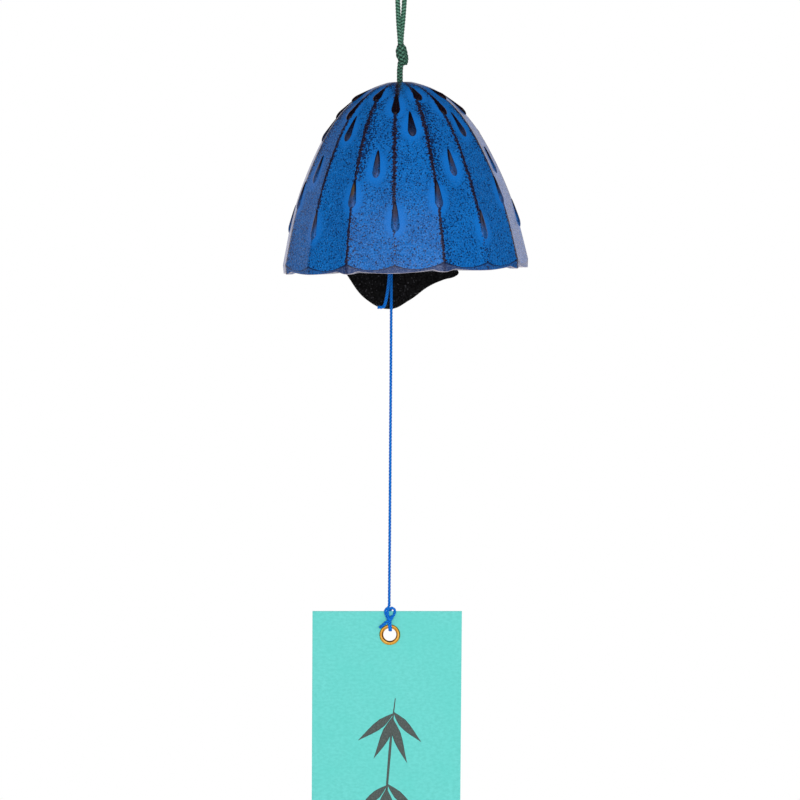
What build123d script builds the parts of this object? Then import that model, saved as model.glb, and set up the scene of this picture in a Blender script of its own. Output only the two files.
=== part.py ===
"""Furin: a cast-iron wind bell on a looped cord, with a flat clapper and a card strip on a thread.

Millimetres, +Z up. The origin is where the hanging cord's loop bears on its hook. The bell's
front, as it is seen, faces -Y.
"""

import os
from math import atan2, cos, degrees, radians, sin

from build123d import *

os.makedirs("parts", exist_ok=True)

# Hanging cord
CORD_D = 1.5  # braided cord
HOOK_R = 2.1  # radius of the hook or nail that the loop hangs on
LOOP_RISE = 48.0  # from the hook down to the loop knot
LEGS_TOGETHER = 10.6  # the legs lie side by side for this length above the knot
KNOT_H = 6.9  # loop knot
KNOT_R = 1.95
KNOT_OFF = 0.45  # the loop knot bulges to the right
NECK_LEN = 5.4  # bare cord between the loop knot and the bell
NECK_GAP = 0.75  # room for the neck to swing below the loop knot
NECK_STAGGER = 0.3  # the two legs of the neck lie nearly one behind the other

# Bell
BELL_H = 61.2
BELL_R = 40.3  # over the main ridges at the rim
BELL_LEAN = 1.6  # degrees; it hangs a little out of true on its knot
PANELS = 16
PANEL = 360 / PANELS
RIDGE_AT = -94.75  # a secondary ridge stands just left of the front
SECONDARY = 0.993  # every second ridge stands out a little less
# depth below the crown and radius over the main ridges, in shares of BELL_H and BELL_R
BELL_PROFILE = [
    (0.0, 0.104),
    (0.026, 0.236),
    (0.065, 0.337),
    (0.131, 0.464),
    (0.245, 0.608),
    (0.376, 0.717),
    (0.539, 0.831),
    (0.719, 0.923),
    (0.866, 0.970),
    (0.948, 0.998),
    (1.0, 1.0),
]
WALL = 2.6
INSIDE_AT = (1.0, 0.866, 0.719, 0.539, 0.376, 0.245, 0.155)  # depths at which the inside follows
CROWN_T = 3.6  # thickness of the crown at the hole
HOLE_D = 4.6
SEAT_R = 5.0  # flat under the crown for the stop knot
RIM_BAND = 3.0  # height of the bevel round the rim, at the ridges
RIM_TAPER = 0.95  # how far that bevel goes in

# Raised drops on the bell
DROP_L = 10.4
DROP_R = 1.3
DROP_TAIL = 0.68 * DROP_L  # from the middle of the head up to the tip of the tail
DROP_SUNK = 0.5  # how far a drop's long axis lies inside the wall
# depth below the crown in shares of BELL_H, and place in panels from the front ridge
DROP_LEVELS = [(0.075, 1), (0.147, 0), (0.263, 0.5), (0.4575, 1.5), (0.6176, 1), (0.7353, 0)]

# Knots and thread inside the bell
STOP_R = 3.1  # stop knot under the crown
STOP_H = 4.4
STOP_GAP = 0.35
TOUCH = 0.1  # between pieces that rest on each other
STOP_OFF = -0.9
THREAD_D = 1.0
THREAD_X = -3.1  # the thread hangs from the left of the stop knot
HITCH_R = 1.2  # small hitch of thread under the stop knot
HITCH_H = 3.0
HITCH_GAP = 0.35

# Clapper: a flat plate, the same either way up
CLAPPER_T = 1.6
CLAPPER_HOLE = 3.0
CLAPPER_DROP = 54.5  # from the crown to the middle of the plate
CLAPPER_R = 21.9  # from its middle to its left tip, sideways
# lower edge of the plate from its left tip to its right tip, in shares of CLAPPER_R
CLAPPER_EDGE = [
    (-1.0, 0.283),
    (-0.616, -0.356),
    (-0.320, -0.726),
    (-0.023, -0.840),
    (0.274, -0.703),
    (0.571, -0.502),
    (0.973, -0.333),
]
CLEAR = 0.4  # between the plate and the thread that hangs before it
TIE_R = 1.3  # knot of thread on the plate
TAIL_LEN = 17.5
TAIL_SPREAD = 3.7

# Strip
STRIP_W = 49.0
STRIP_L = 160.0
STRIP_T = 0.5
STRIP_DROP = 172.5  # from the crown to the strip's top edge
EYELET_DOWN = 7.9  # from the top edge to the eyelet
STRIP_OFF = -0.9  # the eyelet is a little right of the strip's middle
EYELET_ID = 4.3
EYELET_OD = 6.8
EYELET_WALL = 0.3
EYELET_DOME = 0.45
EYELET_BACK = 6.3
EYELET_ROLL = 0.4
EYELET_FIT = 0.05
STRIP_KNOT_R = 1.35
STRIP_KNOT_UP = 1.7  # the knot's top stands this far above the strip
KNOT_TAIL_X = 3.5
KNOT_TAIL_DOWN = 5.2

crown_z = -LOOP_RISE - KNOT_H - NECK_LEN
lean = radians(BELL_LEAN)
bell_frame = Plane(
    origin=(0, 0, crown_z), x_dir=(cos(lean), 0, sin(lean)), z_dir=(-sin(lean), 0, cos(lean))
)
bell_section = Plane(
    origin=bell_frame.origin, x_dir=bell_frame.x_dir, z_dir=-bell_frame.y_dir
)
bell_axis = Axis(bell_frame.origin, bell_frame.z_dir)


def ridge_ring(radius):
    """Corners of the bell's outline at one height, main and secondary ridges in turn."""
    corners = []
    for k in range(PANELS):
        r = radius * (SECONDARY if k % 2 == 0 else 1)
        a = radians(RIDGE_AT + k * PANEL)
        corners.append((r * cos(a), r * sin(a)))
    return corners


def bell_radius(depth):
    """Radius over the main ridges at a depth below the crown."""
    share = depth / BELL_H
    for (h0, r0), (h1, r1) in zip(BELL_PROFILE, BELL_PROFILE[1:]):
        if share <= h1:
            return BELL_R * (r0 + (r1 - r0) * (share - h0) / (h1 - h0))
    return BELL_R


def inner_points():
    """The bell's inside, a wall's thickness in from the panels, from the rim up to the seat."""
    flat = cos(radians(PANEL / 2))
    inside = [(bell_radius(BELL_H * h) * flat - WALL, -BELL_H * h) for h in INSIDE_AT]
    return inside + [(SEAT_R * 1.8, -CROWN_T * 1.33), (SEAT_R, -CROWN_T)]


def tube(points, diameter, bend):
    """A round cord along straight runs joined by arcs."""
    with BuildPart() as cord:
        with BuildLine() as path:
            if len(points) > 2:
                FilletPolyline(*points, radius=bend)
            else:
                Line(*points)
        with BuildSketch(Plane(origin=path.line @ 0, z_dir=path.line % 0)):
            Circle(diameter / 2)
        sweep(path=path.line)
    return cord


# Hanging loop: up one leg, over the hook and down the other
loop_knot_top = -LOOP_RISE
leg_x = CORD_D / 2
top_x = HOOK_R + CORD_D / 2
loop_points = [
    (-leg_x, 0, loop_knot_top),
    (-leg_x, 0, loop_knot_top + LEGS_TOGETHER),
    (-top_x, 0, CORD_D / 2),
    (top_x, 0, CORD_D / 2),
    (leg_x, 0, loop_knot_top + LEGS_TOGETHER),
    (leg_x, 0, loop_knot_top),
]
hanging_loop = tube(loop_points, CORD_D, top_x * 0.9)

# Loop knot: a slanting turn of both legs round themselves
with BuildPart() as loop_knot:
    with BuildSketch(Plane.XZ):
        with BuildLine():
            top_edge = Line((0, loop_knot_top), (2 * leg_x * 0.8, loop_knot_top))
            side = ThreePointArc(
                top_edge @ 1,
                (KNOT_R * 0.86, loop_knot_top - KNOT_H / 2),
                (2 * leg_x * 0.8, loop_knot_top - KNOT_H),
            )
            Line(side @ 1, (0, loop_knot_top - KNOT_H))
            Line((0, loop_knot_top - KNOT_H), (0, loop_knot_top))
        make_face()
    revolve(axis=Axis.Z)
    for level, tilt in ((0.36, 28), (0.62, 28)):
        turn = Plane(
            origin=(KNOT_OFF, 0, loop_knot_top - KNOT_H * level),
            x_dir=(cos(radians(tilt)), 0, sin(radians(tilt))),
            z_dir=(-sin(radians(tilt)), 0, cos(radians(tilt))),
        )
        with Locations(turn):
            Torus(KNOT_R - CORD_D / 2, CORD_D / 2)

# Neck: both legs from the loop knot through the crown
neck_top = loop_knot_top - KNOT_H - NECK_GAP
neck_foot = crown_z - CROWN_T
necks = []
for side in (-1, 1):
    at = (side * NECK_STAGGER, side * leg_x)
    necks.append(tube([(*at, neck_top), (*at, neck_foot)], CORD_D, CORD_D))
neck_front, neck_back = necks

# One raised drop, tail up, its long axis on Z and its seam on the side that is sunk in the wall
with BuildPart() as drop:
    with BuildSketch(Plane.XZ):
        with BuildLine():
            flank = Line((-DROP_R * 0.1, DROP_TAIL), (-DROP_R, -DROP_L * 0.16))
            foot = RadiusArc(flank @ 1, (0, -DROP_L * 0.16 - DROP_R), -DROP_R)
            Line(foot @ 1, (0, DROP_TAIL))
            Line((0, DROP_TAIL), flank @ 0)
        make_face()
    revolve(axis=Axis.Z)

# Bell
with BuildPart(bell_frame) as bell:
    for depth, radius in BELL_PROFILE:
        with BuildSketch(bell_frame.offset(-depth * BELL_H)):
            Polygon(*ridge_ring(radius * BELL_R), align=None)
    loft()
    with BuildSketch(bell_section):
        with BuildLine():
            inside = inner_points()
            curve = Spline(*inside[:-1])
            Polyline(curve @ 1, inside[-1], (0, -CROWN_T), (0, -BELL_H), curve @ 0)
        make_face()
    revolve(axis=bell_axis, mode=Mode.SUBTRACT)
    with Locations((0, 0, -CROWN_T)):
        Cylinder(HOLE_D / 2, 3 * CROWN_T, mode=Mode.SUBTRACT)
    # bevel round the rim: highest at the ridges, lowest in the middle of each panel
    with BuildSketch(bell_section):
        with BuildLine():
            Polyline(
                (BELL_R, -BELL_H + RIM_BAND),
                (BELL_R - RIM_TAPER, -BELL_H),
                (BELL_R - RIM_TAPER, -BELL_H - RIM_TAPER),
                (BELL_R + RIM_TAPER, -BELL_H - RIM_TAPER),
                (BELL_R + RIM_TAPER, -BELL_H + RIM_BAND),
                close=True,
            )
        make_face()
    revolve(axis=bell_axis, mode=Mode.SUBTRACT)
    # raised drops, eight round the bell at each level
    for level, step in DROP_LEVELS:
        depth = level * BELL_H
        if step % 1:
            face = cos(radians(PANEL / 2))
        else:
            face = 1 if step % 2 else SECONDARY
        radius = face * bell_radius(depth)
        run = bell_radius(depth + DROP_L / 3) - bell_radius(depth - DROP_L / 3)
        # the tail's tip comes up to the wall's face
        tail = depth - DROP_TAIL * cos(atan2(run, DROP_L * 2 / 3))
        slope = degrees(atan2(radius - DROP_SUNK - face * bell_radius(tail), depth - tail))
        with PolarLocations(0, PANELS // 2, start_angle=RIDGE_AT + step * PANEL):
            with Locations(Location((radius - DROP_SUNK, 0, -depth), (0, -slope, 0))):
                add(drop.part)

# Stop knot under the crown, too big for the hole
stop_z = crown_z - CROWN_T - STOP_GAP - STOP_H / 2
with BuildPart() as stop_knot:
    with Locations((STOP_OFF, 0, stop_z)):
        Cylinder(STOP_R - CORD_D / 2, STOP_H - CORD_D / 2)
    for level in (-1, 1):
        with Locations((STOP_OFF, 0, stop_z + level * (STOP_H - CORD_D) / 2)):
            Torus(STOP_R - CORD_D / 2, CORD_D / 2)

# Hitch: the thread's two turns at the stop knot
hitch_top = stop_z - STOP_H / 2 - HITCH_GAP
with BuildPart() as thread_hitch:
    with Locations((THREAD_X, 0, hitch_top - HITCH_H / 2)):
        Cylinder(HITCH_R - THREAD_D / 2, HITCH_H - THREAD_D)
    for level in (-1, 0, 1):
        with Locations((THREAD_X, 0, hitch_top - HITCH_H / 2 + level * (HITCH_H - THREAD_D) / 2)):
            Torus(HITCH_R - THREAD_D / 2, THREAD_D / 2)

# Clapper plate with its hole in the middle
clapper_z = crown_z - CLAPPER_DROP
clapper_plane = Plane(
    origin=(THREAD_X, -CLAPPER_T / 2, clapper_z), x_dir=(1, 0, 0), z_dir=(0, -1, 0)
)
with BuildPart() as clapper:
    with BuildSketch(clapper_plane):
        with BuildLine():
            lower = Spline(*[(x * CLAPPER_R, z * CLAPPER_R) for x, z in CLAPPER_EDGE])
            upper = Spline(*[(-x * CLAPPER_R, -z * CLAPPER_R) for x, z in CLAPPER_EDGE])
            Line(lower @ 1, upper @ 0)
            Line(upper @ 1, lower @ 0)
        make_face()
        Circle(CLAPPER_HOLE / 2, mode=Mode.SUBTRACT)
    extrude(amount=-CLAPPER_T)

# Clapper thread: down behind the plate and forward through its hole
thread_r = THREAD_D / 2
behind_y = CLAPPER_T / 2 + TOUCH + thread_r
hole_z = clapper_z + CLAPPER_HOLE / 2 - TOUCH - thread_r
clapper_thread = tube(
    [
        (THREAD_X, 0, hitch_top - HITCH_H - HITCH_GAP),
        (THREAD_X, behind_y, clapper_z - CLAPPER_R * CLAPPER_EDGE[3][1] + THREAD_D),
        (THREAD_X, behind_y, hole_z),
        (THREAD_X, -CLAPPER_T / 2 - TOUCH, hole_z),
    ],
    THREAD_D,
    [THREAD_D * 4, THREAD_D * 0.6],
)

# Knot on the front of the plate
tie_y = -CLAPPER_T / 2 - 2 * TOUCH - TIE_R
with BuildPart() as clapper_knot:
    with Locations(Plane(origin=(THREAD_X, tie_y, hole_z), z_dir=(0, -1, 0))):
        Cylinder(TIE_R - thread_r, 2 * TIE_R)
    for level in (-1, 1):
        turn_y = tie_y + level * (TIE_R - thread_r)
        with Locations(Plane(origin=(THREAD_X, turn_y, hole_z), z_dir=(0, -1, 0))):
            Torus(TIE_R - thread_r, thread_r)

# Short end of the thread, in front of the long one
drop_y = -CLAPPER_T / 2 - CLEAR - thread_r
tail_y = drop_y - CLEAR - THREAD_D
tail_top = hole_z - TIE_R
thread_tail = tube(
    [
        (THREAD_X - thread_r * 3, tail_y, tail_top),
        (THREAD_X - TAIL_SPREAD, tail_y, clapper_z - TAIL_LEN),
    ],
    THREAD_D,
    0,
)

# Strip thread: straight down from the clapper's knot to the strip's knot
strip_top = crown_z - STRIP_DROP
strip_thread = tube(
    [
        (THREAD_X, drop_y, hole_z - TIE_R - CLEAR),
        (THREAD_X, drop_y, strip_top + STRIP_KNOT_UP + HITCH_GAP),
    ],
    THREAD_D,
    0,
)

# Strip: card, in line with its thread
eyelet_z = strip_top - EYELET_DOWN
strip_plane = Plane(
    origin=(THREAD_X, drop_y - STRIP_T / 2, eyelet_z), x_dir=(1, 0, 0), z_dir=(0, -1, 0)
)
barrel_r = EYELET_ID / 2 + EYELET_WALL
with BuildPart() as strip:
    with BuildSketch(strip_plane):
        with Locations((STRIP_OFF, EYELET_DOWN - STRIP_L / 2)):
            Rectangle(STRIP_W, STRIP_L)
        Circle(barrel_r + EYELET_FIT, mode=Mode.SUBTRACT)
    extrude(amount=-STRIP_T)

# Eyelet: a barrel with a domed flange in front and its end rolled over behind
eyelet_section = Plane(
    origin=(THREAD_X, drop_y, eyelet_z), x_dir=(0, 0, 1), z_dir=(1, 0, 0)
)
face = STRIP_T / 2 + TOUCH / 5
with BuildPart() as eyelet:
    with BuildSketch(eyelet_section):
        with BuildLine():
            bore = Line((EYELET_ID / 2, -face - EYELET_ROLL / 2), (EYELET_ID / 2, face + EYELET_DOME / 2))
            dome = ThreePointArc(
                bore @ 1,
                (EYELET_ID / 4 + EYELET_OD / 4, face + EYELET_DOME),
                (EYELET_OD / 2, face),
            )
            barrel = Polyline(dome @ 1, (barrel_r, face), (barrel_r, -face), (EYELET_BACK / 2, -face))
            ThreePointArc(
                barrel @ 1, (EYELET_ID / 4 + EYELET_BACK / 4, -face - EYELET_ROLL), bore @ 0
            )
        make_face()
    revolve(axis=Axis(eyelet_section.origin, (0, 1, 0)))

# Knot in front of the strip's top edge
front_y = drop_y - STRIP_T / 2
knot_y = front_y - TOUCH - thread_r
knot_z = strip_top + STRIP_KNOT_UP - STRIP_KNOT_R - thread_r
with BuildPart() as strip_knot:
    with Locations(Plane(origin=(THREAD_X, knot_y, knot_z), z_dir=(0, -1, 0))):
        Torus(STRIP_KNOT_R, thread_r)

# Loop of thread from the knot through the eyelet and back over the top edge
loop_foot = eyelet_z + EYELET_ID / 4
eyelet_front = drop_y - face - EYELET_DOME - TOUCH - thread_r
eyelet_behind = drop_y + face + EYELET_ROLL + TOUCH + thread_r
eyelet_loop = tube(
    [
        (THREAD_X, knot_y, knot_z - STRIP_KNOT_R - THREAD_D - TOUCH),
        (THREAD_X, eyelet_front, eyelet_z + EYELET_OD / 2),
        (THREAD_X, eyelet_front, loop_foot),
        (THREAD_X, eyelet_behind, loop_foot),
        (THREAD_X, eyelet_behind, strip_top + TOUCH + thread_r),
        (THREAD_X, front_y, strip_top + TOUCH + thread_r),
    ],
    THREAD_D,
    [THREAD_D, THREAD_D * 0.6, THREAD_D * 0.6, THREAD_D * 0.6],
)

# Short end below the strip's knot
knot_tail = tube(
    [
        (THREAD_X - THREAD_D - TOUCH, knot_y, knot_z - STRIP_KNOT_R - THREAD_D - TOUCH),
        (THREAD_X - KNOT_TAIL_X, knot_y, strip_top - KNOT_TAIL_DOWN),
    ],
    THREAD_D,
    0,
)

pieces = {
    "hanging_loop": hanging_loop,
    "loop_knot": loop_knot,
    "neck_front": neck_front,
    "neck_back": neck_back,
    "stop_knot": stop_knot,
    "bell": bell,
    "thread_hitch": thread_hitch,
    "clapper_thread": clapper_thread,
    "clapper": clapper,
    "clapper_knot": clapper_knot,
    "thread_tail": thread_tail,
    "strip_thread": strip_thread,
    "strip_knot": strip_knot,
    "knot_tail": knot_tail,
    "eyelet_loop": eyelet_loop,
    "eyelet": eyelet,
    "strip": strip,
}
for label, piece in pieces.items():
    piece.part.label = label
    export_step(piece.part, f"parts/{label}.step")
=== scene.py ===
from math import atan2, cos, pi, radians, sin, sqrt

import bmesh
import bpy
from mathutils import Matrix, Vector


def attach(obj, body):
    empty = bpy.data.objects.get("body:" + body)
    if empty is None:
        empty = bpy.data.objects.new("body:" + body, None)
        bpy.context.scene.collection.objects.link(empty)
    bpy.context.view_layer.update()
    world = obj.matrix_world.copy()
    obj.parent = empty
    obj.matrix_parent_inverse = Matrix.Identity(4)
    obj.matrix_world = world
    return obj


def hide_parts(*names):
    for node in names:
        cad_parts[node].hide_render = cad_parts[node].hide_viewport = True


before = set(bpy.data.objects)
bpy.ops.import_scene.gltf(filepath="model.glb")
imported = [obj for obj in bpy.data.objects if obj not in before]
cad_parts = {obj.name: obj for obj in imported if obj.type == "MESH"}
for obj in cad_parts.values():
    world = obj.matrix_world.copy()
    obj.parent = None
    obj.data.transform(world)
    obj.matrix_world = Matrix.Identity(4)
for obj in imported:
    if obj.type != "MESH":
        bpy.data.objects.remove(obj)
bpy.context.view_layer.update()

# The model's sizes are in millimetres here and become metres where a mesh is made.
MM = 0.001
JOIN_WITHIN = 1e-6

# Bell, as it is cast
BELL_H = 61.2
BELL_R = 40.6
BELL_TOP = -60.3
BELL_LEAN = radians(1.6)
PANELS = 16
PANEL = 2 * pi / PANELS
PANEL_CUTS = 15
RIDGE_AT = radians(-94.75)
LESSER_RIDGE = 0.993
BELL_PROFILE = [
    (0.0, 4.2), (1.6, 9.5), (4.0, 13.6), (8.0, 18.7), (15.0, 24.5), (23.0, 28.9),
    (33.0, 33.5), (44.0, 37.2), (53.0, 39.15), (58.0, 40.35), (61.2, 40.6),
]
INSIDE_PROFILE = [
    (61.2, 36.9), (53.0, 35.75), (44.0, 33.9), (33.0, 30.25), (23.0, 25.75),
    (15.0, 21.4), (9.5, 16.8), (4.8, 9.0), (3.6, 5.0),
]
PROFILE_CUTS, INSIDE_CUTS = 6, 4
PROFILE_EASE = 14
HOLE_R = 2.3
HOLE_TOP, HOLE_FOOT = 0.4, 3.6
EDGE_ROUND = 0.35
RIM_BAND = 3.4
RIM_LEAST = 1.25
RIM_TAPER = 0.25
RIM_UP = 0.45
RIM_STEPS = 6
LIP_R = BELL_R - 2.4
NOTCH_DEEP = 0.95
NOTCH_HALF = radians(4.9)

# Raised drops: rings by depth, and the first one's place in panels
DROP_L = 10.4
DROP_R = 1.3
DROP_TAIL = 0.68 * DROP_L
DROP_LOWER = 0.05 * DROP_L
DROP_FLAT, DROP_BROAD = 0.74, 1.1
DROP_SUNK = 0.5
DROP_LEVELS = [(4.59, 1), (9.0, 0), (16.1, 0.5), (28.0, 1.5), (37.8, 1), (45.0, 0)]
# how far the coat covers the lower end of each ring's drops
DROP_COVER = [0.0, 0.0, 0.1, 0.5, 0.5, 0.68]
# and how much of each ring's drops stays dark beside a narrow bright crest
DROP_DARK = [1.0, 1.0, 0.9, 0.2, 0.2, 0.0]
# drops off their ring in the casting: level and place in panels, then millimetres down and round
DROP_SHIFTS = {
    (0, 1): (0.5, 0.9), (0, -1): (0.3, -0.5), (1, -2): (1.0, -0.7), (1, 2): (0.4, 0.5),
    (2, 0.5): (-0.3, 0.6), (2, -1.5): (0.6, -1.7), (3, 1.5): (0.7, 1.1), (3, -0.5): (0.7, 0.3),
    (3, -2.5): (1.6, -0.6), (4, 1): (0.7, 0.3), (5, -2): (2.3, 0.0), (5, 2): (3.4, 0.9),
    (5, 0): (0.2, 0.3),
}

# Coat on the bell: reach of dark lines, of flecks beside them and of the clear patch at a drop
MAIN_LINE, MAIN_LINE_LOSS = 2.3, 0.7
LESSER_LINE, FRONT_LINE_GAIN = 2.1, 1.2
LINE_SHARE = 0.3
FLECKS_AFTER, FLECKS_BEFORE, FLECKS_LESSER = 5.0, 1.6, 1.8
HALO_SIDE, HALO_BELOW, HALO_ABOVE = 4.2, 6.0, 8.0
HALO_ARC = 0.7
MARKS = ("ridge", "band", "halo", "drop", "edge", "rim", "faces_front_back", "inside")

# Cords: widths and lays, then a strand's half thickness and rise in a square and a round braid
CORD_WIDE = 1.7
NECK_WIDE = 1.95
CORD_LAY = 3.1
THREAD_D = 1.0
THREAD_LAY = 3.0
STRIP_LAY = 3.2
THREAD_X = -3.1
SQUARE_STRAND = (0.21, 0.08)
ROUND_STRAND = (0.17, 0.09)
STRAND_SIDES = 8
CORE_SIDES = 12
CORE_UNDER = 0.2
PLIES = 3
PLY_SHARE = 0.27
THREAD_SIDES = 18

# Camera, lamp and floor, in metres
CAMERA_AT = (0, -0.81276, -0.103)
CAMERA_AIM = (0, 0, -0.1633)
CAMERA_LENS = 112.3
LAMP_AT = (0.1, -1.25, 0.0)
LAMP_AIM = (0, 0, -0.12)
LAMP_WIDE, LAMP_TALL = 0.9, 0.6
LAMP_POWER = 13
FLOOR_Z = -0.42
FLOOR_R = 0.3


# Small tools


def link(obj):
    """Puts a new object in the scene."""
    bpy.context.scene.collection.objects.link(obj)
    return obj


def pick(obj):
    """Makes obj the only selected and active object."""
    bpy.ops.object.select_all(action="DESELECT")
    obj.select_set(True)
    bpy.context.view_layer.objects.active = obj


def new_profile(name, points, closed=False):
    """A row of points in millimetres, joined by edges, which is then turned round an axis."""
    pairs = [(i, i + 1) for i in range(len(points) - 1)]
    if closed:
        pairs.append((len(points) - 1, 0))
    mesh = bpy.data.meshes.new(name)
    mesh.from_pydata([tuple(c * MM for c in p) for p in points], pairs, [])
    return link(bpy.data.objects.new(name, mesh))


def from_bmesh(name, bm):
    """A piece from a finished edit mesh."""
    mesh = bpy.data.meshes.new(name)
    bm.to_mesh(mesh)
    bm.free()
    return link(bpy.data.objects.new(name, mesh))


def spin_round(obj, steps, centre, axis):
    """Turns a profile once round an axis and joins its two ends."""
    pick(obj)
    bpy.ops.object.mode_set(mode="EDIT")
    bpy.ops.mesh.select_all(action="SELECT")
    bpy.ops.mesh.spin(steps=steps, angle=2 * pi, center=centre, axis=axis)
    bpy.ops.mesh.select_all(action="SELECT")
    bpy.ops.mesh.remove_doubles(threshold=JOIN_WITHIN)
    bpy.ops.object.mode_set(mode="OBJECT")


def face_outward(obj, join=False):
    """Turns every face outward, after points that fall together are joined."""
    pick(obj)
    bpy.ops.object.mode_set(mode="EDIT")
    bpy.ops.mesh.select_all(action="SELECT")
    if join:
        bpy.ops.mesh.remove_doubles(threshold=JOIN_WITHIN)
    bpy.ops.mesh.normals_make_consistent(inside=False)
    bpy.ops.object.mode_set(mode="OBJECT")


def apply_all(obj):
    """Applies every modifier in turn."""
    pick(obj)
    for modifier in list(obj.modifiers):
        bpy.ops.object.modifier_apply(modifier=modifier.name)


def smooth(obj, angle):
    """Smooth shading over every edge that is flatter than an angle in degrees."""
    pick(obj)
    bpy.ops.object.shade_smooth_by_angle(angle=radians(angle))


def dress(obj, material, body, slot, *stands_for):
    """Gives a finished piece its material, its body and the nodes that it stands for."""
    obj.data.materials.clear()
    obj.data.materials.append(material)
    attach(obj, body)
    if stands_for:
        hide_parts(*stands_for)
    return obj


def step(low, high, x):
    """Smooth rise from 0 at low to 1 at high."""
    t = max(0.0, min(1.0, (x - low) / (high - low)))
    return t * t * (3 - 2 * t)


def new_line(kind, count, cuts):
    """A curve with one line of so many points; gives the curve, the line and its points."""
    curve = bpy.data.curves.new("line", "CURVE")
    curve.dimensions = "3D"
    curve.resolution_u = cuts
    line = curve.splines.new(kind)
    points = line.bezier_points if kind == "BEZIER" else line.points
    points.add(count - 1)
    return curve, line, points


def read_line(curve):
    """Places along a curve's line; the curve itself is taken away."""
    holder = link(bpy.data.objects.new("line", curve))
    mesh = bpy.data.meshes.new_from_object(holder)
    found = [v.co.copy() for v in mesh.vertices]
    bpy.data.objects.remove(holder)
    bpy.data.curves.remove(curve)
    bpy.data.meshes.remove(mesh)
    return found


# Camera


def aim_at(obj, place, aim):
    """Puts a camera or lamp at a place and turns it towards another."""
    obj.location = place
    obj.rotation_euler = (Vector(aim) - obj.location).to_track_quat("-Z", "Y").to_euler()


def set_camera():
    """A long lens before the object, a little above its middle."""
    data = bpy.data.cameras.new("front_camera")
    data.lens = CAMERA_LENS
    data.sensor_width = 36
    data.clip_start = 0.01
    data.clip_end = 30
    camera = link(bpy.data.objects.new("front_camera", data))
    aim_at(camera, CAMERA_AT, CAMERA_AIM)
    bpy.context.scene.camera = camera


# Shader tools


class Shader:
    """Adds nodes to a tree and joins them; a value that is a socket is linked."""

    def __init__(self, tree):
        self.tree = tree
        self.surface = None

    def put(self, socket, value):
        """Links a socket to an input, or sets the input to a constant."""
        if isinstance(value, bpy.types.NodeSocket):
            self.tree.links.new(value, socket)
        else:
            socket.default_value = value

    def give(self, name, value):
        """Sets or links an input of the material's surface."""
        self.put(self.surface.inputs[name], value)

    def node(self, kind, values=None, **settings):
        """A new node with its settings and the values of its inputs."""
        made = self.tree.nodes.new(kind)
        for key, value in settings.items():
            setattr(made, key, value)
        for key, value in (values or {}).items():
            self.put(made.inputs[key], value)
        return made

    def math(self, operation, a, b=0.0, clamp=False):
        """One sum of a kind, from two values."""
        made = self.node("ShaderNodeMath", {0: a, 1: b}, operation=operation)
        made.use_clamp = clamp
        return made.outputs[0]

    def plus(self, a, b, clamp=False):
        """Sum of two values."""
        return self.math("ADD", a, b, clamp)

    def minus(self, a, b, clamp=False):
        """Difference of two values."""
        return self.math("SUBTRACT", a, b, clamp)

    def times(self, a, b):
        """Product of two values."""
        return self.math("MULTIPLY", a, b)

    def ramp(self, value, low, high, to_low=0.0, to_high=1.0):
        """Smooth step of a value between two levels."""
        values = {"Value": value, "From Min": low, "From Max": high}
        values.update({"To Min": to_low, "To Max": to_high})
        made = self.node("ShaderNodeMapRange", values, interpolation_type="SMOOTHSTEP")
        return made.outputs["Result"]

    def mix(self, factor, a, b):
        """A colour between two others."""
        made = self.node("ShaderNodeMix", {"Factor": factor}, data_type="RGBA")
        for socket in made.inputs:
            if socket.type == "RGBA":
                self.put(socket, a if socket.name == "A" else b)
        return next(socket for socket in made.outputs if socket.type == "RGBA")

    def attribute(self, name):
        """What is painted on the mesh under a name."""
        return self.node("ShaderNodeAttribute", attribute_name=name).outputs["Fac"]

    def noise(self, vector, scale, detail=3.0, roughness=0.55):
        """Soft noise of a size."""
        values = {"Vector": vector, "Scale": scale, "Detail": detail, "Roughness": roughness}
        return self.node("ShaderNodeTexNoise", values).outputs["Fac"]

    def place(self):
        """Place on the object itself."""
        return self.node("ShaderNodeTexCoord").outputs["Object"]

    def own_map(self):
        """Place round and along a strand or a stroke."""
        return self.node("ShaderNodeUVMap", uv_map="strand").outputs["UV"]

    def stretched(self, vector, scale):
        """The same place with its axes drawn out."""
        return self.node("ShaderNodeMapping", {"Vector": vector, "Scale": scale}).outputs["Vector"]

    def bump(self, height, strength, distance):
        """A normal that follows a height."""
        values = {"Height": height, "Strength": strength, "Distance": distance}
        return self.node("ShaderNodeBump", values).outputs["Normal"]

    def group(self, tree, **values):
        """Outputs of a node group with its inputs set."""
        return self.node("ShaderNodeGroup", values, node_tree=tree).outputs


def new_material(name):
    """A material with one plain surface; gives it and its shader."""
    material = bpy.data.materials.new(name)
    material.use_nodes = True
    material.node_tree.nodes.clear()
    shader = Shader(material.node_tree)
    shader.surface = shader.node("ShaderNodeBsdfPrincipled")
    shader.node("ShaderNodeOutputMaterial", {"Surface": shader.surface.outputs["BSDF"]})
    return material, shader


def new_group(name, inputs, outputs):
    """An empty node group with float sockets, or vector ones where the name is Vector."""
    group = bpy.data.node_groups.new(name, "ShaderNodeTree")
    for label in inputs:
        kind = "NodeSocketVector" if label == "Vector" else "NodeSocketFloat"
        group.interface.new_socket(label, in_out="INPUT", socket_type=kind)
    for label in outputs:
        group.interface.new_socket(label, in_out="OUTPUT", socket_type="NodeSocketFloat")
    shader = Shader(group)
    given = shader.node("NodeGroupInput").outputs
    return group, shader, given, shader.node("NodeGroupOutput").inputs


def srgb(r, g, b):
    """A colour as it is seen, 0 to 255, in the renderer's own scale."""
    def linear(c):
        c /= 255
        return c / 12.92 if c <= 0.04045 else ((c + 0.055) / 1.055) ** 2.4
    return (linear(r), linear(g), linear(b), 1.0)


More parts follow.
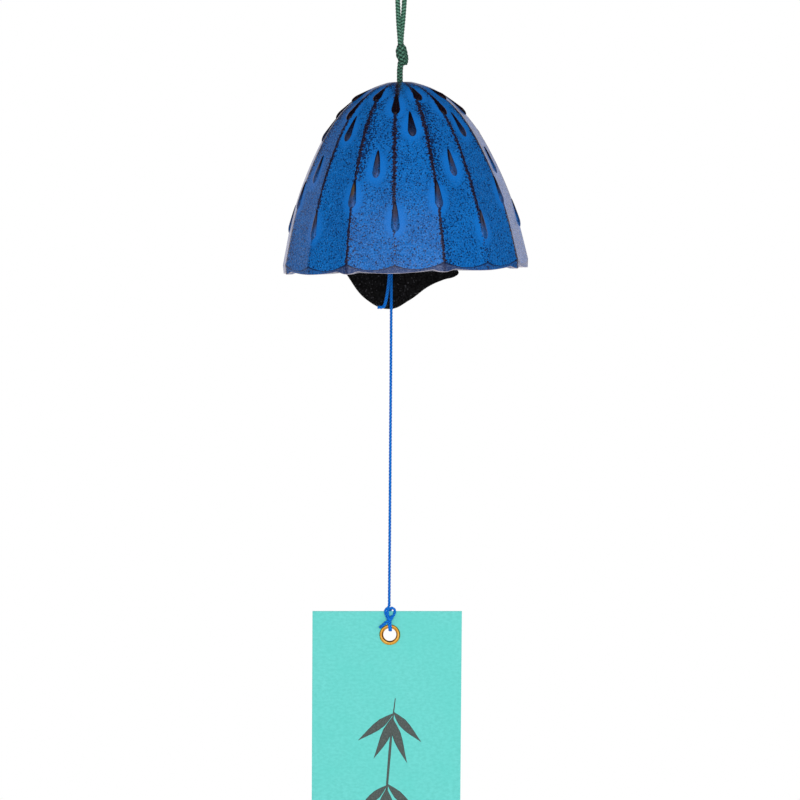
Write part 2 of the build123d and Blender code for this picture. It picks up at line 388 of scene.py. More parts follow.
def make_cast_grain():
    """Sand-cast skin: coarse flecks, fine grain and their height."""
    group, s, given, out = new_group("cast_grain", ["Vector", "Size"], ["Flecks", "Fine", "Height"])
    coarse = s.noise(given["Vector"], given["Size"], 1.5, 0.6)
    fine = s.noise(given["Vector"], s.times(given["Size"], 1.1), 2.0, 0.6)
    cells = s.node(
        "ShaderNodeTexVoronoi",
        {"Vector": given["Vector"], "Scale": s.times(given["Size"], 0.95)},
        feature="F1",
    ).outputs["Distance"]
    dots = s.minus(0.62, s.times(cells, 0.55))
    s.put(out["Flecks"], s.plus(s.times(coarse, 0.55), s.times(dots, 0.6)))
    s.put(out["Fine"], fine)
    s.put(out["Height"], s.plus(s.times(coarse, 0.6), s.times(fine, 0.5)))
    return group


def make_fibre():
    """Fine lines along a yarn, from the yarn's own map."""
    group, s, given, out = new_group("yarn_fibre", ["Vector"], ["Shade", "Height"])
    wide = s.stretched(given["Vector"], (26, 0.55, 1))
    lines = s.noise(wide, 1.0, 3.0, 0.65)
    fuzz = s.noise(s.stretched(given["Vector"], (9, 3.0, 1)), 1.0, 2.0, 0.5)
    s.put(out["Shade"], s.plus(s.times(lines, 0.7), s.times(fuzz, 0.3)))
    s.put(out["Height"], lines)
    return group


cast_grain = make_cast_grain()
yarn_fibre = make_fibre()


def blue_iron():
    """Blue coat on cast iron: flecked panels, dark worn ridges, bronze-dark drops."""
    material, s = new_material("blue_iron")
    place = s.place()
    grain = s.group(cast_grain, Vector=place, Size=1900.0)
    patches = s.noise(place, 150.0, 3.0, 0.6)
    ridge, band, halo, drop, edge, rim, faces_front_back, inside = (s.attribute(name) for name in MARKS)

    # blue, pitted dark by the casting's grain; smooth and clear round the drops
    tone = s.ramp(patches, 0.3, 0.7)
    coat = s.mix(tone, srgb(0, 86, 158), srgb(0, 96, 172))
    open_field = s.minus(1.0, s.times(halo, 0.9), clamp=True)
    pits = s.times(s.ramp(grain["Flecks"], 0.46, 0.62), open_field)
    coat = s.mix(s.times(pits, 0.9), coat, srgb(0, 36, 80))
    light_fleck = s.times(s.ramp(grain["Fine"], 0.54, 0.66), open_field)
    coat = s.mix(s.times(light_fleck, 0.6), coat, srgb(4, 122, 206))
    coat = s.mix(s.times(halo, 0.85), coat, srgb(0, 103, 187))
    # dark flecks, thick beside the ridges and none round the drops
    level = s.plus(s.times(band, 0.19), 0.04)
    level = s.minus(level, s.times(halo, 0.22))
    flecks = s.ramp(s.plus(grain["Flecks"], level), 0.585, 0.655)
    coat = s.mix(s.times(flecks, 0.84), coat, srgb(2, 24, 64))
    # ridges worn to dark iron, in a broken line
    broken = s.times(s.minus(grain["Flecks"], 0.52), 1.1)
    line = s.ramp(s.plus(ridge, broken), 0.56, 0.74)
    worn = s.mix(s.ramp(grain["Fine"], 0.45, 0.65), srgb(16, 10, 26), srgb(48, 32, 46))
    coat = s.mix(s.times(line, 0.94), coat, worn)
    # rim bevel: painted shade, a darker greyer blue, strongest toward the front and back, and a
    # painted highlight, pale, along its lower edge
    bevel_shade = s.mix(s.ramp(grain["Fine"], 0.35, 0.65), srgb(28, 52, 96), srgb(64, 78, 114))
    bevel = s.times(s.ramp(rim, 0.1, 0.5), s.ramp(faces_front_back, 0.0, 1.0, 0.35, 1.0))
    coat = s.mix(bevel, coat, bevel_shade)
    coat = s.mix(s.times(line, s.ramp(rim, 0.3, 0.5, 0.0, 0.45)), coat, worn)
    seam = s.times(s.ramp(rim, 0.0, 0.1), s.ramp(rim, 0.56, 0.44))
    coat = s.mix(s.times(seam, 0.85), coat, srgb(12, 14, 40))
    # painted highlight: a pale line along the rim's lower edge
    coat = s.mix(s.ramp(rim, 0.88, 1.0), coat, srgb(168, 162, 172))
    # drops: dark at the foot, rubbed to bare metal on the crest, silver to bronze
    crest = s.times(drop, s.minus(1.0, edge, clamp=True))
    bronze = s.ramp(s.noise(place, 70.0, 1.0), 0.58, 0.64)
    bare = s.mix(bronze, srgb(104, 100, 124), srgb(142, 116, 78))
    drop_tone = s.mix(s.ramp(grain["Fine"], 0.45, 0.7), srgb(8, 4, 10), srgb(34, 18, 24))
    coat = s.mix(drop, coat, s.mix(crest, drop_tone, bare))
    s.give("Metallic", s.times(crest, 0.96))
    coat = s.mix(inside, coat, s.mix(tone, srgb(16, 20, 34), srgb(30, 36, 56)))
    s.give("Base Color", coat)
    # satin coat; drops are rubbed to a gloss
    dull = s.ramp(grain["Fine"], 0.3, 0.75, 0.21, 0.32)
    dull = s.minus(dull, s.times(drop, 0.1))
    s.give("Roughness", s.plus(dull, s.times(inside, 0.25)))
    s.give("Specular IOR Level", 0.25)
    # clear coat, broken by the grain and even round the drops
    glint = s.minus(s.ramp(grain["Fine"], 0.41, 0.59), 0.5)
    glint = s.plus(s.times(glint, open_field), 0.5)
    bare_metal = s.math("MAXIMUM", drop, inside)
    s.give("Coat Weight", s.minus(glint, bare_metal, clamp=True))
    s.give("Coat Roughness", 0.27)
    clean = s.minus(1.0, s.times(halo, 0.75))
    height = s.times(s.minus(grain["Height"], 0.55), clean)
    height = s.minus(height, s.times(flecks, 0.15))
    s.give("Normal", s.bump(height, 0.06, 0.0002))
    return material


def black_iron():
    """Black coat on the clapper plate, with a fine grain and paler specks."""
    material, s = new_material("black_iron")
    place = s.place()
    grain = s.group(cast_grain, Vector=place, Size=1500.0)
    specks = s.ramp(grain["Flecks"], 0.58, 0.65)
    tone = s.mix(s.ramp(grain["Fine"], 0.42, 0.6), srgb(1, 1, 1), srgb(18, 18, 19))
    tone = s.mix(s.times(specks, 0.6), tone, srgb(72, 72, 76))
    s.give("Base Color", tone)
    s.give("Roughness", s.ramp(grain["Fine"], 0.3, 0.7, 0.6, 0.8))
    s.give("Specular IOR Level", 0.1)
    s.give("Normal", s.bump(grain["Height"], 0.35, 0.0002))
    return material


def yarn(name, dark, light):
    """A dyed yarn: fibres along each strand, with painted shade in the hollows between strands and
    plies.
    """
    material, s = new_material(name)
    fibre = s.group(yarn_fibre, Vector=s.own_map())
    painted_shade = s.attribute("painted_shade")
    tone = s.mix(s.ramp(fibre["Shade"], 0.32, 0.68), dark, light)
    # painted shade: a quarter of the dark dye, at strand sides, under crossings, in ply grooves and
    # on the core
    shade_tone = tuple(c * 0.25 for c in dark[:3]) + (1.0,)
    tone = s.mix(s.ramp(painted_shade, 0.15, 0.85, 0.0, 0.92), tone, shade_tone)
    s.give("Base Color", tone)
    s.give("Roughness", s.ramp(fibre["Shade"], 0.3, 0.7, 0.7, 0.52))
    s.give("Specular IOR Level", 0.25)
    s.give("Sheen Weight", 0.06)
    s.give("Sheen Roughness", 0.4)
    s.give("Normal", s.bump(fibre["Height"], 0.5, 0.00006))
    return material


def eyelet_brass():
    """Bright stamped brass with fine rubbed marks and a slightly uneven tone."""
    material, s = new_material("eyelet_brass")
    place = s.place()
    marks = s.noise(s.stretched(place, (1, 0.2, 1)), 2600.0, 3.0, 0.6)
    dim = s.noise(place, 700.0, 3.0, 0.6)
    tone = s.mix(s.ramp(dim, 0.35, 0.7), srgb(236, 164, 54), srgb(250, 196, 92))
    s.give("Base Color", tone)
    s.give("Metallic", 1.0)
    s.give("Roughness", s.ramp(marks, 0.3, 0.7, 0.14, 0.24))
    s.give("Normal", s.bump(marks, 0.05, 0.00002))
    return material


def teal_card():
    """Dyed card with a faint grain across it and soft mottling."""
    material, s = new_material("teal_card")
    place = s.place()
    laid = s.noise(s.stretched(place, (0.7, 1, 1.2)), 1000.0, 3.0, 0.6)
    cloud = s.noise(place, 90.0, 3.0, 0.55)
    pulp = s.noise(place, 2600.0, 2.0, 0.6)
    tone = s.mix(s.ramp(laid, 0.3, 0.7), srgb(95, 189, 182), srgb(105, 199, 193))
    tone = s.mix(s.ramp(cloud, 0.3, 0.75, 0.0, 0.4), tone, srgb(90, 193, 184))
    tone = s.mix(s.ramp(pulp, 0.62, 0.8, 0.0, 0.35), tone, srgb(136, 214, 210))
    s.give("Base Color", tone)
    s.give("Roughness", s.ramp(laid, 0.3, 0.7, 0.74, 0.88))
    s.give("Specular IOR Level", 0.25)
    height = s.plus(laid, s.times(pulp, 0.4))
    s.give("Normal", s.bump(height, 0.2, 0.00006))
    return material


def brush_ink():
    """Brush ink on card, with dry streaks along each stroke."""
    material, s = new_material("brush_ink")
    streaks = s.noise(s.stretched(s.own_map(), (9, 0.5, 1)), 3.0, 3.0, 0.6)
    tone = s.mix(s.ramp(streaks, 0.35, 0.7), srgb(62, 70, 68), srgb(90, 98, 95))
    s.give("Base Color", tone)
    s.give("Roughness", s.ramp(streaks, 0.3, 0.7, 0.6, 0.85))
    s.give("Specular IOR Level", 0.3)
    return material


# Cords


def read_route(points, cuts):
    """Places along one smooth line that a cord's route guides, in metres."""
    curve, line, guides = new_line("NURBS", len(points), cuts)
    for guide, at in zip(guides, points):
        guide.co = (at[0] * MM, at[1] * MM, at[2] * MM, 1)
    line.order_u = 3
    line.use_endpoint_u = True
    return read_line(curve)


def follow(along):
    """Distance, direction and two cross directions at each point of a cord's line."""
    far = [0.0]
    for a, b in zip(along, along[1:]):
        far.append(far[-1] + (b - a).length)
    ahead = []
    for i in range(len(along)):
        ahead.append((along[min(i + 1, len(along) - 1)] - along[max(i - 1, 0)]).normalized())
    side = ahead[0].cross(Vector((0, 1, 0)))
    if side.length < 0.1:
        side = ahead[0].cross(Vector((1, 0, 0)))
    sides = []
    for t in ahead:
        side = (side - t * side.dot(t)).normalized()
        sides.append(side.copy())
    return far, ahead, sides, [t.cross(n) for t, n in zip(ahead, sides)]


def skin(bm, rings, far, painted_shade=None):
    """Joins rings of points into a closed tube, with a map round and along it and painted shade at
    each point.
    """
    own_map = bm.loops.layers.uv.get("strand") or bm.loops.layers.uv.new("strand")
    shade = bm.verts.layers.float.get("painted_shade") or bm.verts.layers.float.new("painted_shade")
    count = len(rings[0])
    made = []
    for i, ring in enumerate(rings):
        row = [bm.verts.new(p) for p in ring]
        for k, v in enumerate(row):
            v[shade] = painted_shade[i][k] if painted_shade else 0.0
        made.append(row)
    for i in range(len(made) - 1):
        for k in range(count):
            n = (k + 1) % count
            face = bm.faces.new((made[i][k], made[i][n], made[i + 1][n], made[i + 1][k]))
            face.smooth = True
            spots = ((k, i), (k + 1, i), (k + 1, i + 1), (k, i + 1))
            for loop, (u, v) in zip(face.loops, spots):
                loop[own_map].uv = (u / count, far[v] / MM)
    for row, flip in ((made[0], True), (made[-1], False)):
        cap = bm.faces.new(row[::-1] if flip else row)
        for loop in cap.loops:
            loop[own_map].uv = (0.5, 0.0)


def swelling(far, widths):
    """Diameter at each distance along a line, in metres, from diameters in millimetres."""
    found = []
    for d in far:
        at = d / far[-1] * (len(widths) - 1)
        k = min(int(at), len(widths) - 2)
        found.append((widths[k] + (widths[k + 1] - widths[k]) * (at - k)) * MM)
    return found


def braid(bm, along, diameter, pitch, hands, square=True, corner=0.0, dim=0.0):
    """Strands of both hands round a core painted dark, as the shade seen through the gaps.

    In a square braid each hand lies on top on two of the four faces, so that the faces show bars
    that slant to each other; in a round one the hands pass over and under in turn.
    """
    far, ahead, first, second = follow(along)
    widths = swelling(far, diameter if isinstance(diameter, list) else [diameter, diameter])
    thick, lift = (size * MM for size in (SQUARE_STRAND if square else ROUND_STRAND))
    for hand in (1, -1):
        for k in range(hands):
            rings, painted_shade = [], []
            for i, centre in enumerate(along):
                middle = widths[i] / 2 - thick - lift
                lean = atan2(2 * pi * middle, pitch * MM)
                wide = pitch * MM / hands * sin(lean) * 0.45
                turn = 2 * pi * far[i] / (pitch * MM)
                angle = hand * turn + 2 * pi * k / hands
                if square:
                    front = atan2(-second[i].y, -first[i].y)
                    upward = max(-1.0, min(1.0, 3 * ahead[i].z))
                    over = hand * upward * sin(2 * (angle - front) - corner)
                else:
                    over = hand * cos(hands * turn)
                out = first[i] * cos(angle) + second[i] * sin(angle)
                round_ = second[i] * cos(angle) - first[i] * sin(angle)
                run = ahead[i] * cos(lean) + round_ * (hand * sin(lean))
                across = run.cross(out)
                at = centre + out * (middle + lift * over)
                ring, dark = [], []
                for n in range(STRAND_SIDES):
                    a = 2 * pi * n / STRAND_SIDES
                    ring.append(at + across * (cos(a) * wide) + out * (sin(a) * thick))
                    # painted shade at each strand's sides and where it passes under; dim darkens
                    # the whole piece more
                    dark.append(dim + 0.5 * (0.5 - 0.5 * over) + 0.85 * cos(a) ** 2)
                rings.append(ring)
                painted_shade.append(dark)
            skin(bm, rings, far, painted_shade)
    turns = [2 * pi * n / CORE_SIDES for n in range(CORE_SIDES)]
    rings = []
    for i, centre in enumerate(along):
        r = widths[i] / 2 - CORE_UNDER * MM
        rings.append([centre + first[i] * (r * cos(a)) + second[i] * (r * sin(a)) for a in turns])
    # the core takes full painted shade
    skin(bm, rings, far, [[1.0] * CORE_SIDES for _ in along])


def twist(bm, along, diameter, pitch):
    """A laid thread: one skin with a groove between its plies, painted dark as shade."""
    far, _, first, second = follow(along)
    ply = diameter * MM * PLY_SHARE
    offset = diameter * MM / 2 - ply
    rings, painted_shade = [], []
    for i, centre in enumerate(along):
        turn = 2 * pi * far[i] / (pitch * MM)
        ring, dark = [], []
        for n in range(THREAD_SIDES):
            a = 2 * pi * n / THREAD_SIDES
            near = (a + pi / PLIES) % (2 * pi / PLIES) - pi / PLIES
            r = offset * cos(near) + sqrt(max(0.0, ply * ply - (offset * sin(near)) ** 2))
            angle = a + turn
            ring.append(centre + first[i] * (r * cos(angle)) + second[i] * (r * sin(angle)))
            # painted shade in the groove between plies
            dark.append(step(0.5, 1.0, abs(near) * PLIES / pi))
        rings.append(ring)
        painted_shade.append(dark)
    skin(bm, rings, far, painted_shade)


def cord_piece(name, maker, routes, **settings):
    """One mesh of braid or thread along each route; gives the mesh and the first line."""
    bm = bmesh.new()
    lines = []
    for points, cuts, diameter, pitch in routes:
        lines.append(read_route(points, cuts))
        maker(bm, lines[-1], diameter, pitch, **settings)
    return from_bmesh(name, bm), lines[0]


def braided(name, body, node, *routes, **settings):
    """A piece of the hanging cord and its first line."""
    piece, line = cord_piece(name, braid, routes, **settings)
    return dress(piece, green_cord, body, "green_cord", node), line


def threaded(name, body, node, *routes):
    """A piece of thread and its first line."""
    piece, line = cord_piece(name, twist, routes)
    return dress(piece, blue_thread, body, "blue_thread", node), line


set_camera()

green_cord = yarn("green_cord", srgb(36, 80, 65), srgb(108, 164, 138))
blue_thread = yarn("blue_thread", srgb(0, 86, 188), srgb(0, 130, 228))

# Hanging loop, from the knot up over its hook and back
LOOP_ROUTE = [
    (0.05, -0.6, -48.0), (-0.05, -0.6, -46.0), (-0.35, -0.3, -42.5), (-0.55, 0, -39.0),
    (-0.78, 0, -33.0), (-1.75, 0, -18.0), (-2.85, 0, 0.75), (2.85, 0, 0.75), (2.45, 0, -18.0),
    (1.5, 0, -33.0), (1.08, 0, -39.0), (0.75, 0.3, -42.5), (0.4, 0.6, -46.0), (0.35, 0.6, -48.0),
]
loop_cord, loop_line = braided(
    "loop_cord", "hanger", "hanging_loop", (LOOP_ROUTE, 50, CORD_WIDE, CORD_LAY),
    hands=3, corner=pi / 2,
)

# Loop knot: the doubled cord drawn into a tight oval, with one lobe that hangs to the right
KNOT_BODY = [(0.3, 0, -48.0), (0.4, 0, -49.4), (0.6, 0, -51.8), (1.5, 0, -54.7)]
KNOT_SWELL = [1.9, 3.3, 3.9, 3.9, 3.5, 2.7, 1.3]
KNOT_LOBE = [(1.4, -1.5, -50.0), (1.95, -1.3, -51.5), (2.1, -0.9, -53.2), (1.9, -0.4, -54.6)]
LOBE_SWELL = [1.0, 1.4, 1.5, 1.4, 1.0]
braided(
    "loop_knot_cord", "hanger", "loop_knot",
    (KNOT_BODY, 20, KNOT_SWELL, 7.0), (KNOT_LOBE, 12, LOBE_SWELL, 5.0),
    hands=5, square=False, dim=0.2,
)

# Neck: both legs from the knot through the bell's crown
for side, node in ((-1, "neck_front"), (1, "neck_back")):
    at = (side * 0.1 - 0.05, side * 0.8)
    foot = (side * 0.2 - 0.3, side * 0.6)
    route = [
        (side * 0.1 + 0.2, side * 0.7, -53.7), (side * 0.1 + 0.15, side * 0.8, -54.8),
        (*at, -56.4), (*at, -58.0), (*at, -61.0), (*foot, -64.6),
    ]
    braided(node + "_cord", "neck", node, (route, 16, NECK_WIDE, CORD_LAY), hands=3, dim=0.2)

# Stop knot under the crown
STOP_TURNS = [
    (-0.9, 0.2, -64.4), (0.6, -1.1, -64.9), (1.4, 0.5, -65.3), (0.2, 2.2, -65.4),
    (-2.2, 2.0, -65.4), (-3.1, 0.0, -65.6), (-2.0, -2.1, -65.9), (0.2, -2.2, -66.3),
    (1.3, -0.4, -66.8), (0.4, 2.0, -67.1), (-2.0, 2.2, -67.2), (-3.2, 0.2, -67.4),
    (-2.2, -1.9, -67.5), (-0.2, -2.1, -67.5), (0.9, -0.9, -67.4), (0.4, 0.6, -67.0),
    (-0.8, 0.4, -66.6),
]
STOP_CORE = [(-0.6, 0.0, -63.6), (-0.8, 0.0, -65.2), (-0.9, 0.0, -66.8), (-1.3, 0.0, -67.9)]
braided(
    "stop_knot_cord", "neck", "stop_knot", (STOP_TURNS, 10, 1.6, 5.0), (STOP_CORE, 8, 2.4, 6.0),
    hands=4, square=False,
)

# Hitch of thread below the stop knot
HITCH = [
    (-2.9, 0.1, -68.8), (-3.1, -0.5, -69.2), (-3.75, 0.1, -69.6), (-3.1, 0.65, -69.9),
    (-2.45, 0.0, -70.2), (-3.1, -0.65, -70.5), (-3.75, 0.0, -70.8), (-3.1, 0.65, -71.1),
    (-2.5, 0.0, -71.4), (-3.1, -0.5, -71.6), (-3.4, 0.1, -71.4),
]
HITCH_CORE = [(-3.1, 0.0, -68.75), (-3.1, 0.0, -69.6), (-3.1, 0.0, -71.0), (-3.1, 0.0, -72.6)]
threaded(
    "hitch_thread", "hitch", "thread_hitch",
    (HITCH, 8, THREAD_D, THREAD_LAY), (HITCH_CORE, 8, THREAD_D, THREAD_LAY),
)

# Clapper thread: down behind the plate and forward through its hole
CLAPPER_ROUTE = [
    (-3.1, 0, -72.35), (-3.1, 1.4, -95.4), (-3.1, 1.4, -111.6), (-3.1, 1.4, -113.9),
    (-3.1, -0.9, -113.9),
]
clapper_line, clapper_path = threaded(
    "clapper_line", "clapper", "clapper_thread", (CLAPPER_ROUTE, 45, THREAD_D, THREAD_LAY),
)

# Knot on the plate's face and the short end that hangs from it
TIE = [
    (-3.1, -1.1, -113.9), (-3.9, -1.5, -113.4), (-3.3, -2.2, -112.9), (-2.4, -1.8, -113.6),
    (-2.6, -1.5, -114.6), (-3.5, -2.0, -114.8), (-3.8, -2.7, -114.1), (-3.0, -2.9, -113.5),
    (-2.5, -2.4, -114.2),
]
threaded("tie_knot", "clapper", "clapper_knot", (TIE, 8, THREAD_D, THREAD_LAY))
TAIL = [
    (-3.3, -2.4, -113.9), (-3.9, -3.1, -115.8), (-3.95, -3.1, -117.6), (-3.35, -3.1, -121.5),
    (-3.75, -3.1, -126.0), (-4.35, -3.1, -129.6), (-4.75, -3.1, -131.6), (-5.4, -3.1, -133.1),
    (-7.3, -3.1, -132.9),
]
threaded("tail_end", "clapper", "thread_tail", (TAIL, 18, 1.1, THREAD_LAY))

# Strip thread
STRIP_ROUTE = [
    (-2.75, -1.7, -115.6), (-2.95, -1.7, -150.0), (-3.3, -1.7, -200.0), (-3.55, -1.7, -230.75),
]
strip_line, strip_path = threaded(
    "strip_line", "thread", "strip_thread", (STRIP_ROUTE, 130, THREAD_D, STRIP_LAY),
)

# Knot at the strip: two ears over the card's edge, a double strand to the eyelet and a short end
KNOT_EARS = [
    (-3.5, -1.8, -230.6), (-3.8, -2.3, -231.4), (-4.7, -2.5, -231.8), (-4.9, -2.5, -232.7),
    (-4.3, -2.6, -234.5), (-3.5, -2.75, -236.0),
]
KNOT_EAR_INNER = [
    (-3.3, -2.3, -231.3), (-4.0, -2.7, -232.2), (-4.1, -2.9, -233.2), (-3.7, -3.0, -234.5),
    (-3.3, -3.0, -235.8),
]
KNOT_EAR_RIGHT = [
    (-4.6, -2.7, -231.8), (-3.6, -2.9, -231.5), (-2.3, -2.7, -231.3), (-1.5, -2.5, -232.4),
    (-2.1, -2.7, -233.9), (-3.0, -3.2, -235.2), (-3.7, -3.3, -236.3),
]
KNOT_BAND = [
    (-4.2, -2.8, -234.3), (-3.4, -3.5, -235.0), (-2.6, -3.0, -234.6), (-3.0, -2.4, -234.2),
]
threaded(
    "strip_knot_thread", "strip", "strip_knot",
    (KNOT_EARS, 9, 0.9, THREAD_LAY), (KNOT_EAR_INNER, 9, 0.85, THREAD_LAY),
    (KNOT_EAR_RIGHT, 9, 0.9, THREAD_LAY), (KNOT_BAND, 8, 0.9, THREAD_LAY),
)
KNOT_TAIL = [
    (-3.4, -3.1, -235.3), (-4.4, -3.1, -235.9), (-5.4, -2.9, -236.9), (-6.7, -2.7, -237.9),
]
threaded("knot_end", "strip", "knot_tail", (KNOT_TAIL, 9, 1.05, THREAD_LAY))
EYELET_LOOP = [
    (-3.3, -2.8, -235.2), (-3.15, -3.1, -236.8), (-3.1, -3.1, -238.0), (-3.05, -2.4, -238.9),
    (-3.05, -1.2, -238.9), (-3.05, -0.35, -238.1), (-3.1, -0.4, -235.5), (-3.1, -0.6, -232.6),
    (-3.1, -1.3, -231.9), (-3.0, -2.1, -232.0),
]
EYELET_SECOND = [
    (-3.6, -2.8, -235.4), (-3.6, -3.1, -236.8), (-3.5, -3.05, -238.0), (-3.4, -2.4, -238.85),
    (-3.35, -1.2, -238.9),
]
threaded(
    "loop_through", "strip", "eyelet_loop",
    (EYELET_LOOP, 9, 0.9, THREAD_LAY), (EYELET_SECOND, 9, 0.9, THREAD_LAY),
)


# Bell


def through(points, cuts):
    """Places on one smooth line through a row of depths and radii, first to last."""
    curve, _, guides = new_line("BEZIER", len(points), cuts)
    for guide, (depth, radius) in zip(guides, points):
        guide.co = (radius, 0, -depth)
        guide.handle_left_type = guide.handle_right_type = "AUTO"
    return [(-p.z, p.x) for p in read_line(curve)]


def wall_radius(depth):
    """Radius over the main ridges at a depth below the crown."""
    for (h0, r0), (h1, r1) in zip(BELL_PROFILE, BELL_PROFILE[1:]):
        if depth <= h1:
            return r0 + (r1 - r0) * (depth - h0) / (h1 - h0)
    return BELL_R


def drop_place(depth, panels):
    """Radius and slope of a drop's long axis; its tail's tip comes up to the wall's face."""
    if panels % 1:
        face = cos(PANEL / 2)
    else:
        face = 1 if panels % 2 else LESSER_RIDGE
    run = wall_radius(depth + DROP_L / 3) - wall_radius(depth - DROP_L / 3)
    tail = depth - DROP_TAIL * cos(atan2(run, DROP_L * 2 / 3))
    radius = face * wall_radius(depth)
    return radius, atan2(radius - DROP_SUNK - face * wall_radius(tail), depth - tail)


def rim_notch(angle):
    """How far the rim's lower edge is cut up: small lobes at main ridges, wide ones between."""
    from_main = (angle - RIDGE_AT - PANEL) % (2 * PANEL)
    from_main = min(from_main, 2 * PANEL - from_main)
    if from_main < NOTCH_HALF:
        return NOTCH_DEEP * (from_main / NOTCH_HALF) ** 2
    return NOTCH_DEEP * (1 - (from_main - NOTCH_HALF) / (PANEL - NOTCH_HALF)) ** 2


def eased(line, rounds):
    """The same line with its small kinks taken out, its ends kept."""
    for _ in range(rounds):
        middle = [
            ((a[0] + 2 * b[0] + c[0]) / 4, (a[1] + 2 * b[1] + c[1]) / 4)
            for a, b, c in zip(line, line[1:], line[2:])
        ]
        line = [line[0]] + middle + [line[-1]]
    return line


def bell_rows():
    """The bell's section from the hole over the outside and the rim to the inside.

    A row has its kind, its depth below the crown and its radius; a bevel's depth is a share of it.
    """
    outside = eased(through(BELL_PROFILE, PROFILE_CUTS), PROFILE_EASE)
    rows = [("hole", HOLE_FOOT, HOLE_R), ("hole", HOLE_TOP, HOLE_R)]
    rows += [("crown", 0.0, HOLE_R + EDGE_ROUND)]
    rows += [("out", d, r) for d, r in outside if d < BELL_H - RIM_UP - RIM_BAND - 0.3]
    rows += [("bevel", k / RIM_STEPS, BELL_R) for k in range(RIM_STEPS + 1)]
    rows += [("edge", BELL_H, BELL_R - RIM_TAPER - EDGE_ROUND), ("lip", BELL_H, LIP_R)]
    rows += [("in", d, r) for d, r in through(INSIDE_PROFILE, INSIDE_CUTS)]
    return rows


def bell_blank(rows):
    """The rows turned to sixteen panels, each divided across; every point knows its row."""
    profile = [(r * cos(RIDGE_AT), r * sin(RIDGE_AT), -d - i) for i, (_, d, r) in enumerate(rows)]
    bell = new_profile("bell_casting", profile)
    tag = bell.data.attributes.new("row", "FLOAT", "POINT")
    tag.data.foreach_set("value", list(range(len(rows))))
    spin_round(bell, PANELS, (0, 0, 0), (0, 0, 1))
    # only the edges that run round the bell are divided
    bpy.context.tool_settings.mesh_select_mode = (False, True, False)
    tag = bell.data.attributes["row"].data
    for edge in bell.data.edges:
        a, b = edge.vertices
        edge.select = abs(tag[a].value - tag[b].value) < 0.01
    for vertex in bell.data.vertices:
        vertex.select = False
    for face in bell.data.polygons:
        face.select = False
    bpy.ops.object.mode_set(mode="EDIT")
    bpy.ops.mesh.subdivide(number_cuts=PANEL_CUTS)
    # the first and last row meet under the crown and close the wall
    bpy.ops.mesh.select_mode(type="VERT")
    bpy.ops.mesh.select_all(action="DESELECT")
    bpy.ops.mesh.select_non_manifold(extend=False, use_boundary=True)
    bpy.ops.mesh.bridge_edge_loops()
    bpy.ops.object.mode_set(mode="OBJECT")
    return bell


def drop_places():
    """Depth, angle, radius, slope and level of every drop."""
    drops = []
    for level, (depth, panels) in enumerate(DROP_LEVELS):
        for k in range(PANELS // 2):
            at = panels + 2 * k - (PANELS if panels + 2 * k > PANELS / 2 else 0)
            down, round_ = DROP_SHIFTS.get((level, at), (0, 0))
            radius, slope = drop_place(depth + down, panels)
            angle = RIDGE_AT + at * PANEL + round_ / radius
            drops.append((depth + down, angle, radius, slope, level))
    return drops


def panel_at(angle):
    """Place in a pair of panels, and how far the lesser and the main ridge are, in panels."""
    turn = ((angle - RIDGE_AT) / PANEL) % 2
    return turn, min(turn, 2 - turn), abs(turn - 1)


def panel_share(angle):
    """Radius of the panelled wall as a share of that over the main ridges."""
    _, to_lesser, to_main = panel_at(angle)
    flat = cos(PANEL / 2) / cos(PANEL / 2 - PANEL * min(to_lesser, to_main))
    return flat * (1 - (1 - LESSER_RIDGE) * (1 - to_lesser))


def bell_point(kind, depth, radius, angle):
    """Depth and radius at an angle of a point in a row."""
    share = panel_share(angle)
    low = BELL_H - RIM_UP - rim_notch(angle)
    wall = wall_radius(BELL_H - RIM_BAND) * share
    foot = min(BELL_R - RIM_TAPER, wall - 0.15)
    if kind == "bevel":
        # highest on the main ridges, and down to the lobed lower edge
        least = BELL_R * cos(PANEL / 2) * (1 + LESSER_RIDGE) / 2
        high = max(0.0, (BELL_R * share - least) / (BELL_R - least))
        top = BELL_H - RIM_UP - RIM_LEAST - (RIM_BAND - RIM_LEAST) * high
        return top + (low - top) * depth, wall + (foot - wall) * depth
    if kind == "edge":
        return low + 0.04, foot - 0.3
    if kind == "lip":
        return BELL_H - RIM_UP - 0.5 * rim_notch(angle), radius
    if kind == "in" and depth > BELL_H - 0.1:
        return BELL_H - RIM_UP - 0.6, radius
    if kind in ("in", "hole"):
        return depth, radius
    return depth, radius * share


def ridge_mark(depth, around, angle):
    """Strength of the dark line on the nearest ridge."""
    _, to_lesser, to_main = panel_at(angle)
    narrow = LINE_SHARE * PANEL * around
    reach = min(MAIN_LINE - MAIN_LINE_LOSS * step(14, 40, depth), narrow)
    main = max(0.0, 1 - to_main * PANEL * around / reach)
    if abs(angle - RIDGE_AT) < PANEL / 2:
        reach = LESSER_LINE + FRONT_LINE_GAIN * (1 - step(2, 9, depth))
    else:
        reach = min(LESSER_LINE, narrow)
    lesser = max(0.0, 1 - to_lesser * PANEL * around / reach)
    return max(main, lesser * (1 - 0.35 * step(38, 56, depth)))


def band_mark(depth, around, angle):
    """Thickness of the flecks beside the ridges, which lie mostly on one side of a main one."""
    turn, to_lesser, _ = panel_at(angle)
    after = (turn - 1) % 2 * PANEL * around
    before = (1 - turn) % 2 * PANEL * around
    beside = max(1 - after / FLECKS_AFTER, 1 - before / FLECKS_BEFORE, 0.0)
    beside = max(beside, 0.75 * max(0.0, 1 - to_lesser * PANEL * around / FLECKS_LESSER))
    return beside * (1 - 0.45 * step(20, 42, depth))


